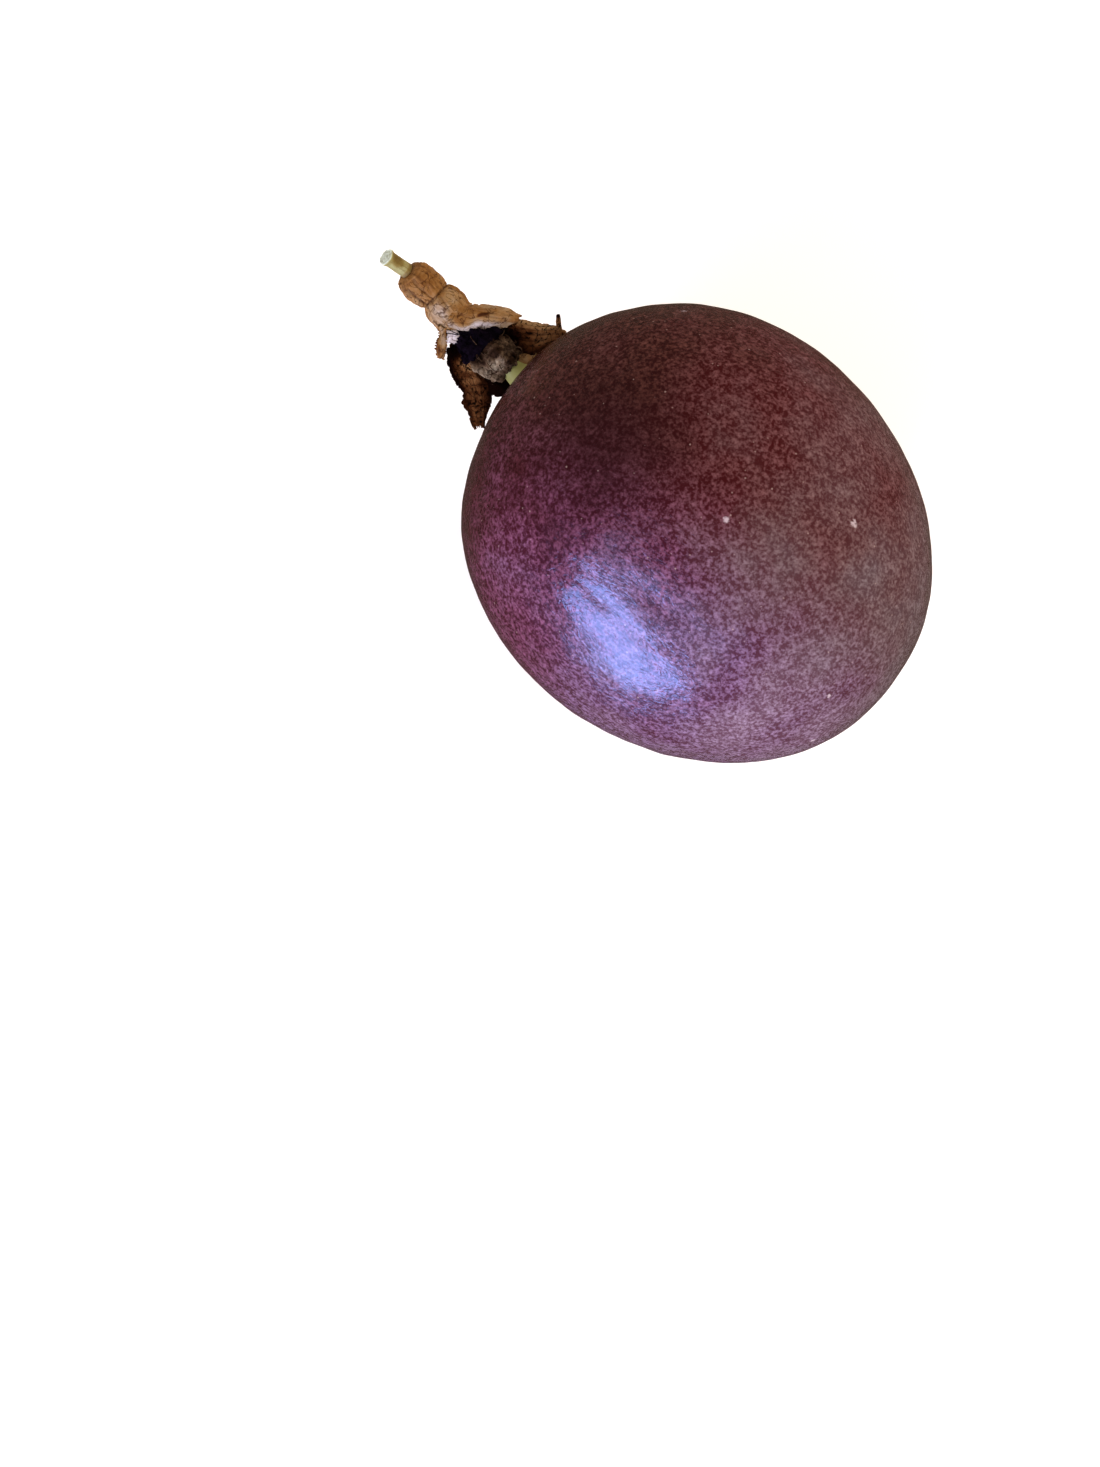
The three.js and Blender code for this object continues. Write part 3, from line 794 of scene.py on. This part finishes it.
# The sepals, the petal and the strand. A patch is pale or dark; a groove is a fold pressed into the leaf.
leafShapes = {
    "sepalUpper": {
        "node": "sepal_upper", "slot": "dry_straw", "grid": (30, 44), "thickness": 0.22,
        "lines": [
            [(-43.3, 3.9, -2.7), (-41.4, 5.0, -2.5), (-39.2, 6.5, -2.2), (-37.7, 7.1, -2.0),
             (-36.0, 7.4, -1.9)],
            [(-43.4, 2.7, -0.55), (-41.4, 3.4, -0.1), (-39.4, 5.0, 0.2), (-37.8, 5.9, 0.0),
             (-36.0, 7.0, -0.9)],
            [(-43.2, 1.3, -0.35), (-41.0, 1.5, 0.0), (-39.7, 3.3, 0.3), (-37.9, 4.7, 0.1),
             (-35.9, 6.7, -0.9)],
            [(-42.9, 0.4, -0.5), (-40.9, 1.1, -0.4), (-39.7, 2.7, -0.1), (-37.9, 4.4, -0.4),
             (-35.9, 6.3, -1.2)],
            [(-42.4, 0.0, -1.0), (-40.4, 1.0, -1.0), (-38.8, 2.7, -1.1), (-37.3, 4.1, -1.2),
             (-36.0, 5.7, -1.5)],
        ],
        "patches": [
            (0.87, 0.45, 0.3, 0.55, 1.35), (0.45, 0.6, 0.25, 0.3, 0.45), (0.3, 0.2, 0.2, 0.2, -0.1),
            (0.34, 0.45, 0.05, 0.07, -2.6), (0.05, 0.6, 0.1, 0.5, 0.5),
        ],
        "grooves": [
            (0.2, 0.3, 0.28, 0.95, 0.02, 0.16), (0.36, 0.05, 0.42, 0.9, 0.018, 0.18),
            (0.5, 0.3, 0.56, 0.98, 0.018, 0.16),
            (0.66, 0.25, 0.66, 0.95, 0.016, 0.14), (0.3, 0.42, 0.31, 0.6, 0.03, 0.3),
        ],
        "tear": 0.05, "crumples": [(11, 1.3, 0.35), (12, 0.5, 0.12)],
    },
    "sepalStrip": {
        "node": "sepal_strip", "slot": "dry_straw", "grid": (10, 34), "thickness": 0.22,
        "lines": [
            [(-43.8, -0.7, -1.9), (-42.8, -1.8, -2.3), (-42.6, -2.6, -2.4), (-42.3, -3.2, -2.7),
             (-41.3, -4.0, -3.5)],
            [(-43.3, -0.5, -1.2), (-42.3, -1.3, -1.8), (-41.6, -2.2, -2.2), (-41.2, -2.8, -2.6),
             (-40.7, -3.7, -3.2)],
            [(-42.6, -0.1, -1.1), (-41.9, -1.0, -1.8), (-41.1, -2.0, -2.4), (-40.7, -2.7, -2.8),
             (-40.2, -3.6, -3.4)],
        ],
        "patches": [
            (0.5, 0.3, 0.3, 0.4, 0.7), (0.6, 0.85, 0.3, 0.2, 0.1), (0.0, 0.5, 0.15, 0.6, -1.2),
            (1.0, 0.5, 0.15, 0.6, -0.6),
            (0.3, 0.75, 0.1, 0.2, -1.0),
        ],
        "grooves": [(0.3, 0.05, 0.32, 0.9, 0.05, 0.12), (0.72, 0.05, 0.7, 0.95, 0.05, 0.12)],
        "tear": 0.2, "crumples": [(15, 0.8, 0.25)],
    },
    "sepalAwned": {
        "node": "sepal_awned", "slot": "dry_brown", "grid": (34, 40), "thickness": 0.24,
        "lines": [
            [(-36.4, 6.6, -1.9), (-34.7, 7.6, -1.7), (-33.2, 8.4, -1.5), (-31.7, 9.2, -1.2),
             (-30.1, 9.5, -1.0)],
            [(-36.6, 5.4, -1.1), (-34.4, 6.5, -0.7), (-32.9, 7.5, -0.6), (-31.3, 8.8, -0.6),
             (-29.9, 9.2, -0.8)],
            [(-36.3, 4.4, -1.9), (-33.9, 5.5, -1.5), (-32.2, 6.7, -1.2), (-31.0, 8.1, -1.0),
             (-29.8, 9.1, -0.9)],
            [(-35.6, 3.4, -3.2), (-33.2, 3.4, -3.2), (-31.5, 4.7, -2.7), (-30.6, 6.9, -1.8),
             (-29.7, 8.9, -1.1)],
        ],
        "patches": [(0.1, 0.5, 0.26, 0.6, 1.35), (0.6, 0.65, 0.3, 0.3, 0.55), (0.97, 0.5, 0.12, 0.6, -0.4),
                    (0.75, 0.03, 0.3, 0.16, -1.0)],
        "grooves": [
            (0.36, 0.05, 0.4, 0.95, 0.02, 0.2), (0.55, 0.1, 0.6, 0.8, 0.02, 0.18),
            (0.75, 0.05, 0.72, 0.7, 0.02, 0.2),
            (0.2, 0.1, 0.18, 0.9, 0.02, 0.12),
        ],
        "tear": 0.12, "crumples": [(21, 1.2, 0.4), (22, 0.5, 0.14)],
        "awn": {  # the little horn behind the tip
            "route": [(-30.7, 8.9, -1.0), (-31.2, 9.3, -0.5), (-31.7, 9.8, 0.0), (-32.3, 10.45, 0.55)],
            "profile": [(0.0, 0.0), (0.5, 0.02), (0.38, 0.3), (0.33, 0.7), (0.27, 0.97), (0, 1.0)],
            "patches": [(0.5, 0.4, 1, 0.5, 0.75), (0.5, 1.0, 1, 0.14, -1.2)],
            "lobes": [(3, 0.4, 0.04)], "grid": (16, 20), "crumples": [(71, 0.5, 0.1)],
        },
    },
    "sepalUnder": {
        "node": "sepal_under", "slot": "dry_brown", "grid": (34, 34), "thickness": 0.3,
        "lines": [
            [(-41.2, 4.1, -4.4), (-38.4, 5.2, -4.8), (-35.6, 5.4, -4.4), (-33.6, 4.2, -3.9)],
            [(-41.4, 3.2, -5.8), (-38.4, 4.0, -7.0), (-35.2, 4.0, -7.2), (-32.8, 3.4, -6.4)],
            [(-41.6, 1.4, -6.4), (-38.4, 1.6, -8.0), (-35.0, 1.6, -8.4), (-32.5, 1.5, -7.6)],
            [(-41.5, -0.4, -5.8), (-38.6, -1.2, -7.2), (-35.4, -1.2, -7.6), (-33.2, -0.8, -7.0)],
            [(-41.5, -1.6, -3.9), (-39.2, -2.9, -4.9), (-36.6, -3.0, -5.6), (-34.2, -2.0, -5.8)],
        ],
        "patches": [(0.5, 0.5, 2, 2, -0.2)],
        "grooves": [
            (0.3, 0.05, 0.3, 0.95, 0.02, 0.25), (0.5, 0.05, 0.5, 0.95, 0.02, 0.25),
            (0.7, 0.05, 0.7, 0.95, 0.02, 0.25),
        ],
        "tear": 0.25, "crumples": [(31, 1.6, 0.5), (32, 0.6, 0.16)],
    },
    "sepalLower": {
        "node": "sepal_lower", "slot": "dry_brown", "grid": (34, 56), "thickness": 0.26,
        "lines": [
            [(-41.0, -2.0, -3.6), (-40.0, -3.4, -4.3), (-38.3, -4.5, -4.7), (-36.9, -5.0, -5.1),
             (-35.9, -5.2, -5.5),
             (-34.9, -6.4, -6.2), (-33.6, -6.8, -7.2), (-31.7, -7.9, -9.2)],
            [(-40.6, -1.5, -4.2), (-39.6, -2.5, -4.3), (-38.0, -3.4, -4.2), (-36.6, -3.8, -4.3),
             (-35.3, -4.2, -4.7),
             (-34.2, -5.1, -5.5), (-32.9, -5.9, -6.6), (-31.4, -7.2, -8.6)],
            [(-40.1, -1.0, -4.6), (-39.0, -1.6, -4.0), (-37.4, -2.0, -3.3), (-35.9, -2.4, -3.5),
             (-34.4, -3.2, -4.4),
             (-33.2, -4.2, -5.4), (-32.3, -5.2, -6.6), (-31.1, -6.9, -8.7)],
            [(-39.4, -0.4, -5.0), (-38.2, -0.6, -3.7), (-36.7, -0.7, -3.2), (-35.2, -1.4, -3.8),
             (-33.5, -2.3, -5.0),
             (-32.2, -3.3, -5.9), (-31.8, -4.7, -7.1), (-30.9, -6.7, -9.1)],
        ],
        # the dark patch along the first edge (across 0) is painted shade on the sepal's shaded side
        "patches": [
            (0.0, 0.25, 0.2, 0.35, -1.3), (0.4, 0.03, 0.6, 0.12, -1.5), (0.75, 0.28, 0.3, 0.12, 0.9),
            (0.5, 0.47, 0.3, 0.05, 0.6),
            (0.45, 0.62, 0.3, 0.1, 0.2), (0.9, 0.75, 0.2, 0.3, -0.4), (0.08, 0.7, 0.12, 0.3, -0.4),
            (0.5, 0.85, 0.3, 0.1, 0.2),
        ],
        "grooves": [
            (0.2, 0.2, 0.4, 0.6, 0.014, 0.14), (0.4, 0.5, 0.32, 0.95, 0.016, 0.12),
            (0.6, 0.15, 0.45, 0.5, 0.014, 0.15),
            (0.78, 0.2, 0.6, 0.8, 0.014, 0.15), (0.45, 0.15, 0.75, 0.5, 0.012, 0.16),
            (0.8, 0.45, 0.5, 0.75, 0.012, 0.12),
        ],
        "tear": 0.16, "crumples": [(41, 1.4, 0.5), (42, 0.55, 0.18)],
    },
    "petalLobe": {
        "node": "petal_lobe", "slot": "dry_brown", "grid": (18, 22), "thickness": 0.3,
        "lines": [
            [(-34.5, -2.2, -5.3), (-33.5, -2.9, -5.4), (-32.4, -2.9, -5.5), (-31.4, -2.1, -5.4)],
            [(-34.4, -1.6, -4.4), (-33.2, -1.6, -4.1), (-32.1, -1.3, -4.2), (-31.1, -1.1, -4.7)],
            [(-33.9, -1.0, -4.8), (-32.9, -0.1, -4.5), (-32.0, 0.3, -4.5), (-31.0, -0.1, -4.9)],
        ],
        "patches": [(0.5, 0.5, 2, 2, -1.4)], "grooves": [(0.5, 0.1, 0.45, 0.9, 0.04, 0.12)],
        "tear": 0.1, "crumples": [(51, 1.0, 0.3)],
    },
    "stamenStrand": {
        "node": "stamen_strand", "slot": "dry_straw", "grid": (14, 16), "thickness": 0.25,
        "lines": [
            [(-33.0, 4.0, -3.4), (-31.9, 4.9, -3.2), (-30.4, 5.6, -3.3)],
            [(-33.0, 3.3, -2.7), (-31.9, 3.8, -2.5), (-30.4, 4.3, -2.7)],
            [(-32.9, 2.6, -2.9), (-31.8, 2.7, -2.8), (-30.5, 2.8, -2.9)],
        ],
        "patches": [(0.5, 0.5, 2, 2, 0.45)],
        "grooves": [
            (0.3, 0.0, 0.4, 1.0, 0.03, 0.12), (0.6, 0.0, 0.5, 1.0, 0.03, 0.12),
            (0.8, 0.1, 0.75, 0.9, 0.03, 0.1),
        ],
        "tear": 0.05, "crumples": [(61, 1.0, 0.12)],
    },
}

# Withered sepal, wrinkled and brittle: it gives a dull dark brown with lighter worn edges.
witheredBrown = {
    "roughness": 0.7, "gloss": 0.0, "blotchSize": 0.9, "blotchAmount": 1.3, "wander": 1.6,
    "stops": [
        (0, "#0e0403"), (0.18, "#200d05"), (0.34, "#442512"), (0.52, "#6a4629"), (0.7, "#8a6846"),
        (1, "#b0926e"),
    ],
    "fibres": 26, "fibreBreaks": 5, "vein": "#120603", "veinEdge": 0.54, "veinAmount": 0.7,
    "hollow": "#0c0402", "hollowShadeAmount": 0.85, "crinkleSize": 1.3, "crinkleAmount": 1.0,
    "crinkleWidth": 0.036, "wrinkleSize": 0.45, "fibreRelief": 1.2, "relief": 0.14,
}


def modelLeaf(name, shape):
    leaf = layLeaf(name, shape)
    tearEdge(leaf, len(name) + shape["grid"][1], shape["tear"])  # each leaf has a seed of its own
    thicken(leaf, shape["thickness"], 0)
    crumpleAll(leaf, shape["crumples"])
    if "awn" in shape:
        awn = rollTube(name + "Awn", shape["awn"])
        addModifier(awn, "SUBSURF", levels=1, render_levels=1)
        crumpleAll(awn, shape["awn"]["crumples"])
        joinPieces(leaf, awn)
    markHollows(leaf)
    return leaf


stalkShape = {
    "route": [(-54.45, 1.6, 1.15), (-53.0, 1.85, -0.05), (-51.3, 2.15, -1.1)],
    "profile": [
        (0, 0.0), (0.3, 0.025), (0.55, 0.0), (0.8, 0.03), (0.95, 0.0), (1.12, 0.0), (1.18, 0.035),
        (1.12, 0.1),
        (1.02, 0.2), (1.0, 0.5), (1.02, 0.9), (1.06, 1.0), (0, 1.0),
    ],
    "lobes": [(5, 0.4, 0.045), (9, 0.9, 0.02), (14, 0.3, 0.012)],
    "grid": (40, 44), "crumples": [(81, 1.0, 0.08)],
    "patches": [
        (0.5, 0.0, 9, 0.04, 1.5), (0.62, 0.6, 0.12, 0.5, 0.2), (0.42, 0.35, 0.14, 0.3, -0.7),
        (0.45, 0.98, 9, 0.12, -0.7),
    ],
}

gynophoreShape = {
    "route": [(-44.0, 1.55, -2.9), (-38.0, 1.2, -3.3), (-33.0, 1.3, -3.35), (-30.0, 1.4, -3.4)],
    "profile": [
        (0, 0.0), (1.1, 0.0), (1.15, 0.6), (1.3, 0.76), (1.6, 0.84), (2.0, 0.92), (2.7, 1.0), (0, 1.0),
    ],
    "lobes": [(3, 0.2, 0.03), (6, 0.7, 0.015)],
    "grid": (36, 40), "crumples": [(83, 1.0, 0.08)],
    "patches": [(0.5, 0.95, 9, 0.06, 0.4)],
}

# Green stalk with a ribbed bark and a pale cut end: it gives a greyish green with brown lengthwise lines.
cutStalk = {
    "roughness": 0.5, "gloss": 0.15, "blotchSize": 0.8, "blotchAmount": 0.7, "wander": 0.5,
    "stops": [
        (0, "#5a4018"), (0.25, "#83703a"), (0.42, "#a3a06e"), (0.6, "#b4b78c"), (0.78, "#cdd6c2"),
        (1, "#e4ece2"),
    ],
    "fibres": 22, "fibreBreaks": 1.2, "vein": "#6e5a2c", "veinEdge": 0.52, "veinAmount": 0.45,
    "hollow": "#4c3c1c", "hollowShadeAmount": 0.6, "crinkleSize": 0.9, "crinkleAmount": 0.25,
    "crinkleWidth": 0.028, "wrinkleSize": 0.4, "fibreRelief": 2.0, "relief": 0.05,
}

# Living stem inside the flower: it gives a smooth even yellow-green with a faint sheen.
paleStem = {
    "roughness": 0.45, "gloss": 0.15, "blotchSize": 1.1, "blotchAmount": 0.5, "wander": 0.4,
    "stops": [(0, "#6a6430"), (0.35, "#9c9a5c"), (0.6, "#aeac70"), (1, "#beb98a")],
    "fibres": 16, "fibreBreaks": 1.0, "vein": "#8a8444", "veinEdge": 0.55, "veinAmount": 0.25,
    "hollow": "#5c5a2c", "hollowShadeAmount": 0.4, "crinkleSize": 1.5, "crinkleAmount": 0.0,
    "crinkleWidth": 0.028, "wrinkleSize": 0.6, "fibreRelief": 1.0, "relief": 0.03,
}


def modelStem(name, shape):
    stem = rollTube(name, shape)
    addModifier(stem, "SUBSURF", levels=1, render_levels=1)
    crumpleAll(stem, shape["crumples"])
    markHollows(stem)
    return stem


coronaShape = {
    "route": [(-41.6, 1.5, -3.2), (-38.6, 1.5, -3.3), (-36.4, 1.2, -3.3)],
    "profile": [
        (1.6, 0.0), (2.3, 0.1), (2.5, 0.3), (3.0, 0.55), (3.5, 0.75), (3.3, 0.88), (2.2, 1.0), (1.5, 0.95),
    ],
    "lobes": [(7, 0.3, 0.18), (11, 1.1, 0.14), (17, 0.5, 0.08)], "crumples": [(1.0, 0.9), (0.45, 0.35)],
    "grid": (80, 30), "seed": 91, "tear": 0.4, "wall": 0.22,
    "fibres": {
        "seed": 5, "count": 60, "ring": ((-40.6, 1.5, -3.25), 2.75, 3.0), "reach": 2.8, "thickness": 0.075,
        "curl": 0.35,
    },
}

tuftShape = {
    "route": [(-37.2, 1.5, -3.0), (-35.0, 1.25, -3.1), (-32.5, 1.45, -3.3)],
    "profile": [(1.4, 0.0), (2.7, 0.05), (3.1, 0.25), (2.9, 0.5), (2.4, 0.78), (1.7, 0.97), (1.25, 0.94)],
    "lobes": [(4, 0.3, 0.35), (9, 1.1, 0.2), (15, 0.5, 0.12)], "crumples": [(1.3, 1.1), (0.5, 0.45)],
    "grid": (80, 30), "seed": 95, "tear": 0.4, "wall": 0.22,
    "patches": [
        (0.58, 0.6, 0.08, 0.2, 0.9), (0.72, 0.4, 0.07, 0.4, 0.9), (0.45, 0.5, 0.2, 0.4, 0.2),
        (0.5, 0.05, 1, 0.12, -0.5),
        (0.5, 0.35, 0.06, 0.12, -0.8), (0.64, 0.2, 0.05, 0.2, -0.9), (0.42, 0.8, 0.1, 0.1, -0.6),
    ],
    "fibres": {
        "seed": 9, "count": 110, "ring": ((-37.6, 1.4, -3.1), 3.0, 4.2), "reach": 2.2, "thickness": 0.08,
        "curl": 0.8,
    },
}

# Shrivelled filaments stuck together: they give a nearly black violet with a few paler lines; the
# near-black is partly the filaments' own colour and partly painted shade of the torn cup's deep inside.
darkMembraneAndShade = {
    "roughness": 0.5, "gloss": 0.0, "blotchSize": 0.7, "blotchAmount": 1.2, "wander": 1.5,
    "stops": [(0, "#040206"), (0.3, "#0a060c"), (0.5, "#140c18"), (0.75, "#2c2030"), (1, "#4a3c46")],
    "fibres": 30, "fibreBreaks": 6, "vein": "#2a2030", "veinEdge": 0.6, "veinAmount": 0.35,
    "hollow": "#010102", "hollowShadeAmount": 0.9, "crinkleSize": 1.0, "crinkleAmount": 0.5,
    "crinkleWidth": 0.028, "wrinkleSize": 0.4, "fibreRelief": 1.0, "relief": 0.12,
}

# Crumpled dry stamens: they give a soft matt grey-brown, pale on the ridges, with painted shade that turns
# the gaps black.
crumpledStamens = {
    "roughness": 0.8, "gloss": 0.0, "blotchSize": 0.6, "blotchAmount": 1.8, "wander": 1.5,
    "stops": [
        (0, "#120a05"), (0.25, "#33231a"), (0.45, "#634f3e"), (0.65, "#8c7a66"), (0.85, "#b4a68f"),
        (1, "#cfc4b2"),
    ],
    "fibres": 30, "fibreBreaks": 8, "vein": "#20150c", "veinEdge": 0.54, "veinAmount": 0.6,
    "hollow": "#0c0704", "hollowShadeAmount": 0.9, "crinkleSize": 0.8, "crinkleAmount": 0.6,
    "crinkleWidth": 0.028, "wrinkleSize": 0.35, "fibreRelief": 1.0, "relief": 0.15,
}


def modelRuffle(name, shape):
    ruffle = rollTube(name, shape)
    tearEdge(ruffle, shape["seed"], shape["tear"])
    thicken(ruffle, shape["wall"], -1)
    for step, (size, height) in enumerate(shape["crumples"]):
        crumple(ruffle, shape["seed"] + step, size, height)
    markHollows(ruffle, 0.12)
    fibres = addFibres(name + "Fibres", **shape["fibres"])
    joinPieces(ruffle, fibres)
    smoothFaces(ruffle)
    return ruffle


straw = driedMaterial("Dry papery flower tube", paperyStraw)
brown = driedMaterial("Withered brown sepal", witheredBrown)
placePiece(modelCup(cupShape, liningShape), straw, "flower_cup")
print("flower cup is made")
for leafName, leafShape in leafShapes.items():
    finish = straw if leafShape["slot"] == "dry_straw" else brown
    placePiece(modelLeaf(leafName, leafShape), finish, leafShape["node"])
print("sepals, petal and strand are made")
cut = modelStem("cutStalk", stalkShape)
placePiece(cut, driedMaterial("Cut green stalk", cutStalk), "stalk")
gynophore = modelStem("paleStem", gynophoreShape)
placePiece(gynophore, driedMaterial("Smooth green gynophore", paleStem), "gynophore")
corona = modelRuffle("darkCorona", coronaShape)
placePiece(corona, driedMaterial("Shrivelled violet corona", darkMembraneAndShade), "corona")
tuft = modelRuffle("stamenTuft", tuftShape)
placePiece(tuft, driedMaterial("Crumpled stamens", crumpledStamens), "stamen_tuft")
print("stems, corona and stamens are made")
